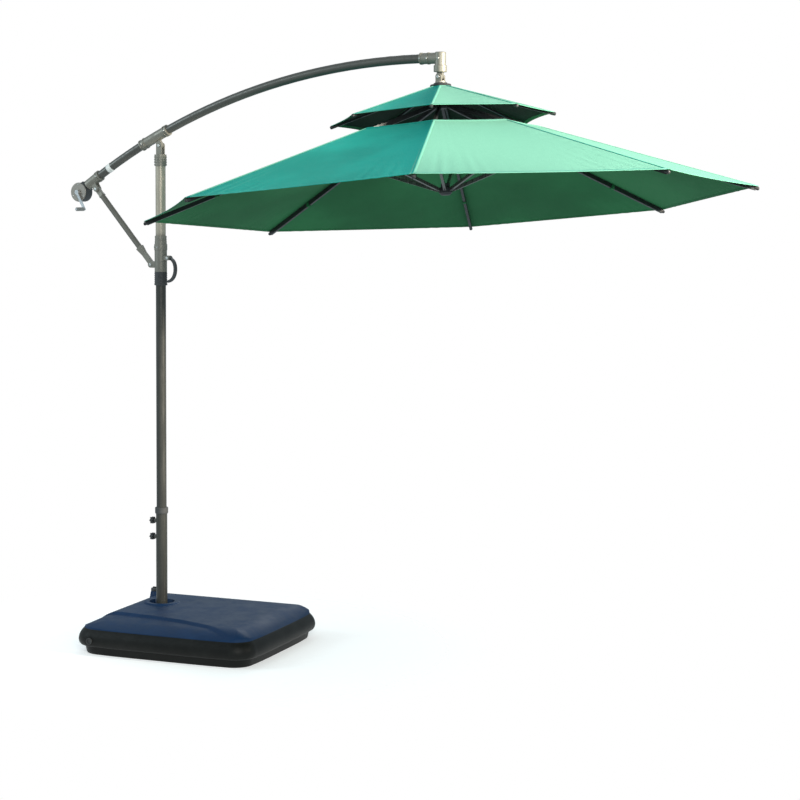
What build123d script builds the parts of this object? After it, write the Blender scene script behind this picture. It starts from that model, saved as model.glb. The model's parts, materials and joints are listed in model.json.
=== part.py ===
"""Cantilever patio umbrella: a ballast tank, a swivelling pole, a curved arm and a hung two-tier canopy.

The origin is on the ground under the pole's axis. +Z is up, and +X runs from the pole to the canopy.
The arm, the strut and the winch lie in the plane Y = 0. Lengths are in millimetres.
"""
from build123d import *
import os
from math import atan2, cos, degrees, hypot, radians, sin, tan

# ---- ballast tank -------------------------------------------------------------------------------
BASE_TURN = 8.0            # the tank stands turned by this angle under the arm
TANK_LENGTH = 920.0
TANK_WIDTH = 860.0
TANK_OFFSET = (250.0, -100.0)   # the tank's middle from the pole, in the tank's own directions
TANK_CORNER = 95.0
TANK_WALL = 4.0
FOOT_INSET = 26.0
FOOT_HEIGHT = 38.0
SKIRT_TOP = 118.0
TANK_TOP = 165.0
SHOULDER_INSET = 48.0
WELL_RADIUS = 60.0
WELL_FLOOR = 20.0
WELL_RIM_RADIUS = 84.0
WELL_RIM_RISE = 6.0
FILL_AT = (-145.0, 225.0)       # the filling neck from the pole, in the tank's own directions
FILL_RADIUS = 22.0
WATER_TOP = 120.0

# ---- pole and its socket ------------------------------------------------------------------------
POLE_RADIUS = 24.0
POLE_WALL = 1.8
POLE_BOTTOM = 26.4
POLE_TOP = 2300.0
SOCKET_GAP = 0.3
SOCKET_WALL = 2.7
SOCKET_TOP = 622.0
PLATE_THICKNESS = 6.0
PLATE_RADIUS = 56.0
SCREW_HEIGHTS = (484.0, 562.0)

# ---- arm linkage --------------------------------------------------------------------------------
PIVOT = (0.0, 2358.0)           # pole-top pivot, X and Z
ARM_LOW = (-430.0, 2166.0)
ARM_MIDDLE = (504.0, 2602.0)
ARM_END = (1462.0, 2736.0)
ARM_RADIUS = 20.0
ARM_WALL = 2.0
SLEEVE_RADIUS = 24.5
STRUT_TOP = (-372.0, 2150.0)
STRUT_BOTTOM = (-50.0, 1795.0)
STRUT_RADIUS = 13.5
LUG_HALF = 8.0
CHEEK_IN = 9.0
CHEEK_OUT = 15.0
PIN_RADIUS = 4.0
EYE_RADIUS = 14.0
WINCH = (-466.0, 2134.0)
WINCH_RADIUS = 46.0
WINCH_HALF = 25.0
SPOOL_RADIUS = 20.0
NECK_ROOT = 30.0                # half the winch neck's height at the drum
NECK_END = 23.5                 # and where it meets the arm
CRANK_REACH = (44.0, -81.0)     # from the winch's middle to the knob
STRUT_TOP_CAST = (26.0, 46.0)   # along the strut from its upper bolt: where the casting widens, where it ends
STRUT_BOTTOM_CAST = (62.0, 108.0)
SLIDER_RADIUS = 29.5
SLIDER_LOW = 1698.0
SLIDER_BODY = (1762.0, 1864.0)
SLIDER_HIGH = 1932.0
LEVER_AT = (47.0, 1828.0)

# ---- elbow and hanger ---------------------------------------------------------------------------
ELBOW_X = 1495.0
ELBOW_TOP = 2764.0
ELBOW_SLEEVE = 1398.0           # where the elbow's sleeve starts along the arm
COLLAR_TOP = 2706.0
COLLAR_HEIGHT = 30.0
HANG = (1495.0, 0.0, 2656.0)
HANG_HEIGHT = 557.0             # the hanging bolt above the rim plane, along the canopy's axis
TILT_ALONG = 5.6                # the canopy leans this far in the arm's plane
TILT_ACROSS = -3.5              # and this far across it

# ---- canopy -------------------------------------------------------------------------------------
RIBS = 8
RIM_RADIUS = 1350.0             # to a rib's tip
APEX = 458.0                    # where the main tier's slope would meet the axis
VENT_RADIUS = 415.0
TOP_APEX = 527.0
TOP_RIM_RADIUS = 492.0
TOP_RIM_HEIGHT = 371.0
TOP_HOLE_RADIUS = 52.0
CLOTH = 1.5
RIB_DROP = 13.0                 # from the cloth's outer face down to a rib's middle line
RIB_HEIGHT = 18.0
RIB_WIDTH = 12.0
HINGE_RING = 35.0               # radius of the ribs' hinge circle
STRETCHER_AT = 530.0            # along the rib
STRETCHER_DROP = 24.0
STRETCHER_HEIGHT = 14.0
STRETCHER_WIDTH = 12.0
TUBE_WALL = 1.0                 # of the ribs and the stretchers
RUNNER = (40.0, 63.0)           # stretcher hinge on the runner: radius and height
TOP_RIB_DROP = 10.0
TOP_RIB_SIZE = 8.0
TAG_HALF = 2.0                  # half the thickness of a hinge tag
FORK_GAP_HALF = 2.6

os.makedirs("parts", exist_ok=True)


def save(piece, name):
    """Label one finished piece and write it as its own STEP file."""
    piece.part.label = name
    export_step(piece.part, f"parts/{name}.step")


def side_plane(y):
    """The arm's plane moved to a height y; its sketches use (X, Z) and it faces -Y."""
    return Plane.XZ.offset(-y)


def from_to(start, end):
    """A plane at start that looks along the line to end, both given as (X, Z) in the arm's plane."""
    along = Vector(end[0] - start[0], 0, end[1] - start[1])
    return Plane(origin=(start[0], 0, start[1]), x_dir=(0, 1, 0), z_dir=along)


# ---- tank ---------------------------------------------------------------------------------------
turn = radians(BASE_TURN)


def in_tank(x, y):
    """A point given in the tank's own directions from the pole, in the model's frame."""
    return (x * cos(turn) - y * sin(turn), x * sin(turn) + y * cos(turn))


tank_middle = in_tank(*TANK_OFFSET)
tank_plane = Plane(origin=(*tank_middle, 0), x_dir=(cos(turn), sin(turn), 0), z_dir=(0, 0, 1))
fill_middle = in_tank(*FILL_AT)


def tank_outline(height, inset):
    """One level of the tank's plan."""
    with BuildSketch(tank_plane.offset(height)) as outline:
        RectangleRounded(TANK_LENGTH - 2 * inset, TANK_WIDTH - 2 * inset, TANK_CORNER - inset / 2)
    return outline.sketch


def tank_levels(shrink, top):
    """The tank's foot, skirt and sloping shoulder, each a loft between two levels."""
    with BuildPart() as levels:
        loft([tank_outline(shrink, FOOT_INSET + shrink), tank_outline(FOOT_HEIGHT, FOOT_INSET + shrink)])
        loft([tank_outline(FOOT_HEIGHT + shrink, 6 + shrink), tank_outline(SKIRT_TOP, shrink)])
        loft([tank_outline(SKIRT_TOP, shrink), tank_outline(TANK_TOP - shrink, SHOULDER_INSET + shrink)])
        with Locations(tank_plane.offset(FOOT_HEIGHT)):
            Box(TANK_LENGTH - 160, TANK_WIDTH - 160, 2 * shrink + 4)
        if top < TANK_TOP:
            with Locations((*tank_middle, top)):
                Box(3 * TANK_LENGTH, 3 * TANK_WIDTH, 200, align=(Align.CENTER, Align.CENTER, Align.MIN),
                    mode=Mode.SUBTRACT)
    return levels.part


cavity = tank_levels(TANK_WALL, TANK_TOP)
with BuildPart() as base_tank:
    add(tank_levels(0, TANK_TOP))
    with Locations((0, 0, TANK_TOP)):
        Cylinder(WELL_RIM_RADIUS, WELL_RIM_RISE, align=(Align.CENTER, Align.CENTER, Align.MIN))
    fillet(base_tank.edges().filter_by(GeomType.CIRCLE).group_by(Axis.Z)[-1], 2.5)
    add(cavity, mode=Mode.SUBTRACT)
    with Locations((0, 0, WELL_FLOOR - TANK_WALL)):
        Cylinder(WELL_RADIUS + TANK_WALL, TANK_TOP, align=(Align.CENTER, Align.CENTER, Align.MIN))
    with Locations((0, 0, TANK_TOP + WELL_RIM_RISE)):
        Cylinder(WELL_RIM_RADIUS, TANK_TOP, align=(Align.CENTER, Align.CENTER, Align.MIN), mode=Mode.SUBTRACT)
    with Locations((0, 0, WELL_FLOOR)):
        Cylinder(WELL_RADIUS, TANK_TOP, align=(Align.CENTER, Align.CENTER, Align.MIN), mode=Mode.SUBTRACT)
    with Locations((*fill_middle, TANK_TOP - 30)):
        Cylinder(FILL_RADIUS + 4, 36, align=(Align.CENTER, Align.CENTER, Align.MIN))
        Cylinder(FILL_RADIUS, 80, mode=Mode.SUBTRACT)
save(base_tank, "base_tank")

with BuildPart() as water_ballast:
    add(tank_levels(TANK_WALL + 0.5, WATER_TOP))
    with Locations((0, 0, 0)):
        Cylinder(WELL_RADIUS + TANK_WALL + 0.5, 3 * TANK_TOP, mode=Mode.SUBTRACT)
save(water_ballast, "water_ballast")

with BuildPart() as fill_cap:
    with BuildSketch(Plane.XY.offset(TANK_TOP + 6.3)) as cap_top:
        with Locations(fill_middle):
            Circle(FILL_RADIUS + 7)
    extrude(amount=12)
    fillet(fill_cap.faces().sort_by(Axis.Z)[-1].edges(), 3)
    with Locations((*fill_middle, TANK_TOP + 6.3)):
        Cylinder(FILL_RADIUS - 0.3, 16, align=(Align.CENTER, Align.CENTER, Align.MAX))
    with Locations((*fill_middle, TANK_TOP + 20.3)):
        Box(2 * FILL_RADIUS, 7, 6)
save(fill_cap, "fill_cap")

# ---- socket -------------------------------------------------------------------------------------
socket_inner = POLE_RADIUS + SOCKET_GAP
socket_outer = socket_inner + SOCKET_WALL
bolt_circle = PLATE_RADIUS - 12

with BuildPart() as base_plate:
    with Locations((0, 0, WELL_FLOOR)):
        Cylinder(PLATE_RADIUS, PLATE_THICKNESS, align=(Align.CENTER, Align.CENTER, Align.MIN))
    with Locations((0, 0, WELL_FLOOR)):
        with PolarLocations(bolt_circle, 4, start_angle=45):
            Cylinder(4.3, 40, mode=Mode.SUBTRACT)
save(base_plate, "base_plate")

plate_top = WELL_FLOOR + PLATE_THICKNESS
with BuildPart() as plate_bolts:
    with Locations((0, 0, plate_top)):
        with PolarLocations(bolt_circle, 4, start_angle=45):
            Cylinder(7.5, 5, align=(Align.CENTER, Align.CENTER, Align.MIN))
            Cylinder(4.0, PLATE_THICKNESS, align=(Align.CENTER, Align.CENTER, Align.MAX))
save(plate_bolts, "plate_bolts")

with BuildPart() as base_tube:
    with BuildSketch(Plane.XY.offset(plate_top)):
        Circle(socket_outer)
        Circle(socket_inner, mode=Mode.SUBTRACT)
    extrude(amount=SOCKET_TOP - plate_top)
    for height in SCREW_HEIGHTS:
        with BuildSketch(Plane(origin=(-socket_outer + 1, 0, height), x_dir=(0, 1, 0), z_dir=(-1, 0, 0))):
            Circle(10)
        extrude(amount=11)
        with BuildSketch(Plane(origin=(-socket_inner + 4, 0, height), x_dir=(0, 1, 0), z_dir=(-1, 0, 0))):
            Circle(5.1)
        extrude(amount=30, mode=Mode.SUBTRACT)
save(base_tube, "base_tube")

with BuildPart() as tube_collar:
    with BuildSketch(Plane.XZ):
        with BuildLine():
            Polyline(
                (socket_inner, SOCKET_TOP), (socket_outer + 0.05, SOCKET_TOP), (socket_outer + 0.05, SOCKET_TOP - 22),
                (socket_outer + 3.5, SOCKET_TOP - 22), (socket_outer + 4.5, SOCKET_TOP - 16),
                (socket_outer + 4.5, SOCKET_TOP + 6), (socket_inner + 2, SOCKET_TOP + 9),
                (socket_inner, SOCKET_TOP + 9), (socket_inner, SOCKET_TOP),
            )
        make_face()
    revolve(axis=Axis.Z)
save(tube_collar, "tube_collar")


def thumb_screw(height, name):
    """A clamping screw: a threaded shank, a flange and a lobed knob, pointing in -X."""
    face = Plane(origin=(-POLE_RADIUS - 0.3, 0, height), x_dir=(0, 1, 0), z_dir=(-1, 0, 0))
    with BuildPart() as screw:
        with BuildSketch(face):
            Circle(5.0)
        extrude(amount=22)
        with BuildSketch(face.offset(15)):
            Circle(9)
        extrude(amount=5)
        with BuildSketch(face.offset(20)):
            Circle(13)
            with PolarLocations(14, 6):
                Circle(3.6)
        extrude(amount=17)
        fillet(screw.faces().sort_by(Axis.X)[0].edges(), 1.5)
    save(screw, name)


thumb_screw(SCREW_HEIGHTS[0], "thumb_screw_lower")
thumb_screw(SCREW_HEIGHTS[1], "thumb_screw_upper")

# ---- pole ---------------------------------------------------------------------------------------
with BuildPart() as pole_tube:
    with BuildSketch(Plane.XY.offset(POLE_BOTTOM)):
        Circle(POLE_RADIUS)
        Circle(POLE_RADIUS - POLE_WALL, mode=Mode.SUBTRACT)
    extrude(amount=POLE_TOP - POLE_BOTTOM)
save(pole_tube, "pole_tube")

pivot_x, pivot_z = PIVOT
bracket_foot = POLE_TOP - 38
bracket_deck = POLE_TOP + 16
with BuildPart() as pole_bracket:
    with BuildSketch(Plane.XY.offset(bracket_foot)):
        Circle(POLE_RADIUS + 4.5)
    extrude(amount=bracket_deck - bracket_foot)
    with BuildSketch(Plane.XY.offset(bracket_foot)):
        Circle(POLE_RADIUS)
    extrude(amount=POLE_TOP - bracket_foot, mode=Mode.SUBTRACT)
    for height in (bracket_foot + 4, bracket_foot + 16, bracket_foot + 28, bracket_foot + 40):
        with BuildSketch(Plane.XY.offset(height)):
            Circle(POLE_RADIUS + 6.5)
            Circle(POLE_RADIUS + 4, mode=Mode.SUBTRACT)
        extrude(amount=4)
    for side in (-1, 1):
        with BuildSketch(side_plane(side * (CHEEK_IN + CHEEK_OUT) / 2)):
            with Locations((pivot_x, pivot_z)):
                Circle(EYE_RADIUS + 1)
            with Locations((pivot_x, (bracket_deck + pivot_z) / 2 - 2)):
                Rectangle(2 * EYE_RADIUS + 2, pivot_z - bracket_deck + 4)
        extrude(amount=(CHEEK_OUT - CHEEK_IN) / 2, both=True)
    with BuildSketch(side_plane(0)):
        with Locations((pivot_x, pivot_z)):
            Circle(PIN_RADIUS + 0.05)
    extrude(amount=60, both=True, mode=Mode.SUBTRACT)
save(pole_bracket, "pole_bracket")


def cross_pin(at, half=CHEEK_OUT, from_y=0.0):
    """A hinge bolt along Y with a domed head and a nut, at an (X, Z) point of the arm's plane.

    With from_y above zero the shank is left out between the cheeks, as two stubs.
    """
    with BuildPart() as pin:
        for side in (-1, 1):
            with BuildSketch(side_plane(side * from_y)):
                with Locations(at):
                    Circle(PIN_RADIUS)
            extrude(amount=-side * (half - from_y))
        with BuildSketch(side_plane(-half)):
            with Locations(at):
                Circle(7.5)
        extrude(amount=4)
        fillet(pin.faces().sort_by(Axis.Y)[0].edges(), 2)
        with BuildSketch(side_plane(half)):
            with Locations(at):
                RegularPolygon(7.5, 6)
        extrude(amount=-5)
    return pin.part


# ---- arm ----------------------------------------------------------------------------------------
with BuildLine(Plane.XZ) as arm_line:
    ThreePointArc(ARM_LOW, ARM_MIDDLE, ARM_END)
arm_path = arm_line.edges()[0]


def arm_share(x):
    """How far along the arm, from 0 to 1, its middle line passes a given X."""
    low, high = 0.0, 1.0
    for _ in range(40):
        middle = (low + high) / 2
        if (arm_path @ middle).X < x:
            low = middle
        else:
            high = middle
    return (low + high) / 2


def arm_frame(x):
    """A plane across the arm where its middle line passes a given X."""
    share = arm_share(x)
    return Plane(origin=arm_path @ share, x_dir=(0, 1, 0), z_dir=arm_path % share)


def along_arm(x_from, x_to, outer, inner):
    """A round sleeve that follows the arm's curve between two X positions."""
    path = arm_path.trim(arm_share(x_from), arm_share(x_to))
    with BuildPart() as sleeve:
        with BuildSketch(Plane(origin=path @ 0, x_dir=(0, 1, 0), z_dir=path % 0)):
            Circle(outer)
            if inner:
                Circle(inner, mode=Mode.SUBTRACT)
        sweep(path=path)
    return sleeve.part


with BuildPart() as arm_tube:
    add(along_arm(ARM_LOW[0] + 1, ARM_END[0] - 1, ARM_RADIUS, ARM_RADIUS - ARM_WALL))
save(arm_tube, "arm_tube")


def lug(at, towards, radius, half):
    """A flat hinge lug: a rounded plate from a pin position towards another point of the arm's plane."""
    reach = Vector(towards[0] - at[0], towards[1] - at[1])
    turned = degrees(atan2(reach.Y, reach.X))
    with BuildPart() as plate:
        with BuildSketch(side_plane(0)):
            with Locations(at):
                Circle(radius)
            with Locations(Location((at[0] + reach.X / 2, at[1] + reach.Y / 2), turned)):
                Rectangle(reach.length, 2 * radius)
            with Locations(at):
                Circle(PIN_RADIUS + 0.05, mode=Mode.SUBTRACT)
        extrude(amount=half, both=True)
    return plate.part


def arm_point(x):
    """The arm's middle line at a given X, as (X, Z)."""
    point = arm_path @ arm_share(x)
    return (point.X, point.Z)


with BuildPart() as pivot_sleeve:
    add(lug(PIVOT, arm_point(-24), EYE_RADIUS, LUG_HALF))
    add(along_arm(-108, 46, SLEEVE_RADIUS, 0))
    for x in (-104, -84, 30, 42):
        add(along_arm(x - 3, x + 3, SLEEVE_RADIUS + 2.5, 0))
    add(along_arm(-120, 60, ARM_RADIUS, 0), mode=Mode.SUBTRACT)
save(pivot_sleeve, "pivot_sleeve")

with BuildPart() as winch_clamp:
    for side in (-1, 1):
        add(Pos(0, side * (CHEEK_IN + CHEEK_OUT) / 2, 0)
            * lug(STRUT_TOP, arm_point(-395), EYE_RADIUS - 1, (CHEEK_OUT - CHEEK_IN) / 2))
    add(along_arm(-427, -352, SLEEVE_RADIUS, 0))
    for x in (-366, -356):
        add(along_arm(x - 3, x + 3, SLEEVE_RADIUS + 2.5, 0))
    add(along_arm(-429, -345, ARM_RADIUS, 0), mode=Mode.SUBTRACT)
    with BuildSketch(side_plane(0)):
        with Locations(STRUT_TOP):
            Circle(EYE_RADIUS + 2.5)
    extrude(amount=LUG_HALF + 0.8, both=True, mode=Mode.SUBTRACT)
save(winch_clamp, "winch_clamp")

neck_plane = arm_frame(ARM_LOW[0] + 0.5)
neck_across = neck_plane.z_dir.cross(Vector(0, 1, 0))
neck_corners = [
    (foot_x + neck_across.X * half, foot_z + neck_across.Z * half)
    for foot_x, foot_z, half in (
        (*WINCH, NECK_ROOT), (*ARM_LOW, NECK_END), (*ARM_LOW, -NECK_END), (*WINCH, -NECK_ROOT),
    )
]
with BuildPart() as winch_housing:
    with BuildSketch(side_plane(0)):
        with Locations(WINCH):
            Circle(WINCH_RADIUS)
        with BuildLine():
            Polyline(*neck_corners, close=True)
        make_face()
    extrude(amount=WINCH_HALF, both=True)
    fillet(winch_housing.faces().sort_by(Axis.Y)[-1].edges(), 3)
    with BuildSketch(side_plane(-WINCH_HALF)):
        with Locations(WINCH):
            Circle(WINCH_RADIUS - 5)
    extrude(amount=-2 * WINCH_HALF + 4, mode=Mode.SUBTRACT)
save(winch_housing, "winch_housing")

with BuildPart() as winch_cover:
    with BuildSketch(side_plane(-WINCH_HALF)):
        with Locations(WINCH):
            Circle(WINCH_RADIUS - 1)
            Circle(6.3, mode=Mode.SUBTRACT)
    extrude(amount=4)
    fillet(winch_cover.faces().sort_by(Axis.Y)[0].edges().sort_by(SortBy.RADIUS)[-1], 2.5)
    with BuildSketch(side_plane(-WINCH_HALF - 4)):
        with Locations(WINCH):
            Circle(15)
            Circle(6.3, mode=Mode.SUBTRACT)
    extrude(amount=5)
save(winch_cover, "winch_cover")

# ---- crank --------------------------------------------------------------------------------------
crank_end = (WINCH[0] + CRANK_REACH[0], WINCH[1] + CRANK_REACH[1])
crank_face = -WINCH_HALF - 12
with BuildPart() as winch_spool:
    with BuildSketch(side_plane(WINCH_HALF - 5)):
        with Locations(WINCH):
            Circle(SPOOL_RADIUS)
    extrude(amount=2 * WINCH_HALF - 8)
    for y in (WINCH_HALF - 5, -WINCH_HALF + 6):
        with BuildSketch(side_plane(y)):
            with Locations(WINCH):
                Circle(WINCH_RADIUS - 8)
        extrude(amount=2.5)
    with BuildSketch(side_plane(0)):
        with Locations(WINCH):
            Circle(6.0)
    extrude(amount=60, both=True, mode=Mode.SUBTRACT)
save(winch_spool, "winch_spool")

with BuildPart() as crank_arm:
    with BuildSketch(side_plane(WINCH_HALF - 5)):
        with Locations(WINCH):
            Circle(5.95)
    extrude(amount=2 * WINCH_HALF + 10)
    with BuildSketch(side_plane(crank_face)):
        with BuildLine():
            Line(WINCH, crank_end)
        trace(line_width=13)
        with Locations(WINCH):
            Circle(11)
        with Locations(crank_end):
            Circle(7.5)
    extrude(amount=6)
    with BuildSketch(side_plane(crank_face - 6)):
        with Locations(crank_end):
            Circle(3.95)
    extrude(amount=58)
    with BuildSketch(side_plane(crank_face - 64)):
        with Locations(crank_end):
            Circle(5.5)
    extrude(amount=2)
save(crank_arm, "crank_arm")

with BuildPart() as crank_knob:
    with BuildSketch(side_plane(crank_face - 7)):
        with Locations(crank_end):
            Circle(9)
    extrude(amount=56)
    fillet(crank_knob.edges(), 2.5)
    with BuildSketch(side_plane(0)):
        with Locations(crank_end):
            Circle(4.0)
    extrude(amount=200, mode=Mode.SUBTRACT)
save(crank_knob, "crank_knob")

# ---- strut --------------------------------------------------------------------------------------
strut_length = hypot(STRUT_BOTTOM[0] - STRUT_TOP[0], STRUT_BOTTOM[1] - STRUT_TOP[1])
strut_down = from_to(STRUT_TOP, STRUT_BOTTOM)
strut_up = from_to(STRUT_BOTTOM, STRUT_TOP)
tube_start, tube_stop = STRUT_TOP_CAST[1], strut_length - STRUT_BOTTOM_CAST[1]

with BuildPart() as strut_tube:
    with BuildSketch(strut_down.offset(tube_start)):
        Circle(STRUT_RADIUS)
        Circle(STRUT_RADIUS - 1.5, mode=Mode.SUBTRACT)
    extrude(amount=tube_stop - tube_start)
save(strut_tube, "strut_tube")


def strut_end(plane, cast, width, thickness, name):
    """A cast strut end: an eye for the hinge bolt, a flat neck that widens into a block, and a plug in the tube."""
    neck, length = cast
    with BuildPart() as end:
        with BuildSketch(plane.offset(neck)):
            RectangleRounded(2 * LUG_HALF, 2 * EYE_RADIUS - 4, 3)
        with BuildSketch(plane.offset(length)):
            RectangleRounded(thickness, width, 6)
        loft()
        with BuildSketch(plane):
            Rectangle(2 * LUG_HALF, 2 * EYE_RADIUS - 4)
        extrude(amount=neck)
        with BuildSketch(Plane(origin=plane.origin, x_dir=plane.z_dir, z_dir=(0, 1, 0))):
            Circle(EYE_RADIUS - 2)
        extrude(amount=LUG_HALF, both=True)
        with BuildSketch(plane.offset(length)):
            Circle(STRUT_RADIUS - 1.5)
        extrude(amount=24)
        with BuildSketch(Plane(origin=plane.origin, x_dir=plane.z_dir, z_dir=(0, 1, 0))):
            Circle(PIN_RADIUS + 0.05)
        extrude(amount=40, both=True, mode=Mode.SUBTRACT)
    save(end, name)


strut_end(strut_down, STRUT_TOP_CAST, 2 * STRUT_RADIUS + 1, 2 * STRUT_RADIUS - 1, "strut_top_end")
strut_end(strut_up, STRUT_BOTTOM_CAST, 2 * STRUT_RADIUS + 7, 2 * STRUT_RADIUS + 3, "strut_bottom_end")

# ---- slider -------------------------------------------------------------------------------------
slide_inner = POLE_RADIUS + 0.3
slider_z = STRUT_BOTTOM[1]


def ring(low, high, outer, inner=slide_inner):
    """A plain ring round the pole between two heights."""
    with BuildPart() as band:
        with BuildSketch(Plane.XY.offset(low)):
            Circle(outer)
            Circle(inner, mode=Mode.SUBTRACT)
        extrude(amount=high - low)
    return band.part


with BuildPart() as slider_body:
    add(ring(*SLIDER_BODY, SLIDER_RADIUS))
    for side in (-1, 1):
        add(Pos(0, side * (CHEEK_IN + CHEEK_OUT) / 2, 0)
            * lug(STRUT_BOTTOM, (-22, slider_z), EYE_RADIUS + 1, (CHEEK_OUT - CHEEK_IN) / 2))
        add(Pos(0, side * (CHEEK_IN + CHEEK_OUT) / 2, 0)
            * lug(LEVER_AT, (22, LEVER_AT[1]), 11, (CHEEK_OUT - CHEEK_IN) / 2))
    with Locations((0, 0, slider_z)):
        Cylinder(slide_inner, 400, mode=Mode.SUBTRACT)
save(slider_body, "slider_body")

with BuildPart() as slider_collar:
    collar_low = SLIDER_BODY[1]
    add(ring(collar_low, collar_low + 28, SLIDER_RADIUS + 1.5))
    add(ring(collar_low + 28, SLIDER_HIGH - 22, SLIDER_RADIUS - 1))
    add(ring(SLIDER_HIGH - 18, SLIDER_HIGH - 14, SLIDER_RADIUS - 1))
    add(ring(SLIDER_HIGH - 10, SLIDER_HIGH, SLIDER_RADIUS - 1.5))
    add(ring(SLIDER_HIGH - 32, SLIDER_HIGH, SLIDER_RADIUS - 2.5))
save(slider_collar, "slider_collar")

with BuildPart() as slider_grip:
    add(ring(SLIDER_LOW + 8, SLIDER_BODY[0], SLIDER_RADIUS))
    add(ring(SLIDER_LOW, SLIDER_LOW + 8, SLIDER_RADIUS + 1.5))
    for rib in range(5):
        add(ring(SLIDER_LOW + 14 + 10 * rib, SLIDER_LOW + 18 + 10 * rib, SLIDER_RADIUS + 1))
save(slider_grip, "slider_grip")

with BuildPart() as slider_bolts:
    add(cross_pin(STRUT_BOTTOM, from_y=CHEEK_IN))
    add(cross_pin(LEVER_AT))
save(slider_bolts, "slider_bolts")

with BuildPart() as release_lever:
    with BuildSketch(side_plane(0)):
        with BuildLine():
            Spline(LEVER_AT, (74, 1812), (84, 1776), (74, 1738), (42, 1716))
        trace(line_width=11)
        with Locations(LEVER_AT):
            Circle(10)
        with Locations(LEVER_AT):
            Circle(PIN_RADIUS + 0.05, mode=Mode.SUBTRACT)
    extrude(amount=LUG_HALF, both=True)
save(release_lever, "release_lever")

# ---- elbow --------------------------------------------------------------------------------------
sleeve_plane = arm_frame(ELBOW_SLEEVE)
with BuildPart() as elbow:
    with BuildSketch(sleeve_plane):
        Circle(SLEEVE_RADIUS)
    extrude(amount=ELBOW_X - ELBOW_SLEEVE)
    for gap in (0, 36):
        with BuildSketch(sleeve_plane.offset(gap)):
            Circle(SLEEVE_RADIUS + 2)
        extrude(amount=8)
    with BuildSketch(Plane.XY.offset(COLLAR_TOP)):
        with Locations((ELBOW_X, 0)):
            Circle(SLEEVE_RADIUS)
    extrude(amount=ELBOW_TOP - COLLAR_TOP)
    fillet(elbow.faces().sort_by(Axis.Z)[-1].edges(), 6)
    with BuildSketch(sleeve_plane):
        Circle(ARM_RADIUS + 0.6)
    extrude(amount=ARM_END[0] - ELBOW_SLEEVE, mode=Mode.SUBTRACT)
save(elbow, "elbow")

hang = Vector(*HANG)
with BuildPart() as hanger_stem:
    with BuildSketch(Plane.XY.offset(COLLAR_TOP - COLLAR_HEIGHT)):
        with Locations((ELBOW_X, 0)):
            Circle(29)
    extrude(amount=COLLAR_HEIGHT)
    fillet(hanger_stem.edges(), 3)
    with BuildSketch(side_plane(0)):
        with Locations((HANG[0], HANG[2])):
            Circle(13)
        with Locations((HANG[0], HANG[2] + 11)):
            Rectangle(26, 22)
    extrude(amount=9, both=True)
    with BuildSketch(side_plane(0)):
        with Locations((HANG[0], HANG[2])):
            Circle(PIN_RADIUS + 0.05)
    extrude(amount=20, both=True, mode=Mode.SUBTRACT)
save(hanger_stem, "hanger_stem")

with BuildPart() as arm_bolts:
    add(cross_pin(PIVOT))
    add(cross_pin(STRUT_TOP))
    add(cross_pin((HANG[0], HANG[2]), half=21.5))
save(arm_bolts, "arm_bolts")

# ---- canopy frame: its own plane, hung at the bolt ------------------------------------------------
along, across = radians(TILT_ALONG), radians(TILT_ACROSS)
canopy_up = Vector(-sin(along), -sin(across) * cos(along), cos(across) * cos(along))
canopy_out = Vector(cos(along), -sin(across) * sin(along), cos(across) * sin(along))
rim_plane = Plane(origin=hang - canopy_up * HANG_HEIGHT, x_dir=canopy_out, z_dir=canopy_up)
slope = atan2(APEX, RIM_RADIUS)
top_slope = atan2(TOP_APEX - TOP_RIM_HEIGHT, TOP_RIM_RADIUS)
first_rib = 180.0 / RIBS


def rib_plane(number):
    """The upright plane through one rib, with x outwards and y along the canopy's axis."""
    angle = radians(first_rib + number * 360 / RIBS)
    outwards = rim_plane.x_dir * cos(angle) + rim_plane.y_dir * sin(angle)
    return Plane(origin=rim_plane.origin, x_dir=outwards, z_dir=outwards.cross(rim_plane.z_dir))


def rib_height(radius):
    """The height of a main rib's middle line above the rim plane."""
    return APEX - radius * tan(slope) - RIB_DROP / cos(slope)


def top_rib_height(radius):
    """The height of a vent rib's middle line above the rim plane."""
    return TOP_APEX - radius * tan(top_slope) - TOP_RIB_DROP / cos(top_slope)


def turned_canopy(radius_heights):
    """A solid of revolution about the canopy's axis, from (radius, height) corners."""
    with BuildPart() as turned:
        with BuildSketch(rib_plane(0)):
            with BuildLine():
                Polyline(*radius_heights, close=True)
            make_face()
        revolve(axis=Axis(rim_plane.origin, rim_plane.z_dir))
    return turned.part


def hinge_tags(radius, height):
    """Solid tags at the hinge circle of the hub or the runner, one for each rib, with a pin through each."""
    with BuildPart() as tags:
        for number in range(RIBS):
            with BuildSketch(rib_plane(number)):
                with Locations((radius, height)):
                    Circle(6)
                with Locations((radius - 9, height)):
                    Rectangle(18, 12)
            extrude(amount=TAG_HALF, both=True)
            with BuildSketch(rib_plane(number)):
                with Locations((radius, height)):
                    Circle(2.4)
            extrude(amount=6.5, both=True)
    return tags.part


hub_low = rib_height(HINGE_RING)
hub_high = top_rib_height(HINGE_RING)
disc_low = HANG_HEIGHT - 44
with BuildPart() as canopy_hub:
    add(turned_canopy([(0, hub_low - 16), (22, hub_low - 16), (24, hub_low - 10), (24, hub_low + 12),
                       (17, hub_low + 22), (17, hub_high - 12), (24, hub_high - 8), (24, disc_low),
                       (0, disc_low)]))
    add(hinge_tags(HINGE_RING, hub_low))
    add(hinge_tags(HINGE_RING, hub_high))
save(canopy_hub, "canopy_hub")

with BuildPart() as crown_disc:
    add(turned_canopy([(0, disc_low), (45, disc_low), (47, disc_low + 4), (45, disc_low + 9), (30, disc_low + 12),
                       (30, disc_low + 16), (0, disc_low + 16)]))
save(crown_disc, "crown_disc")

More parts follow.
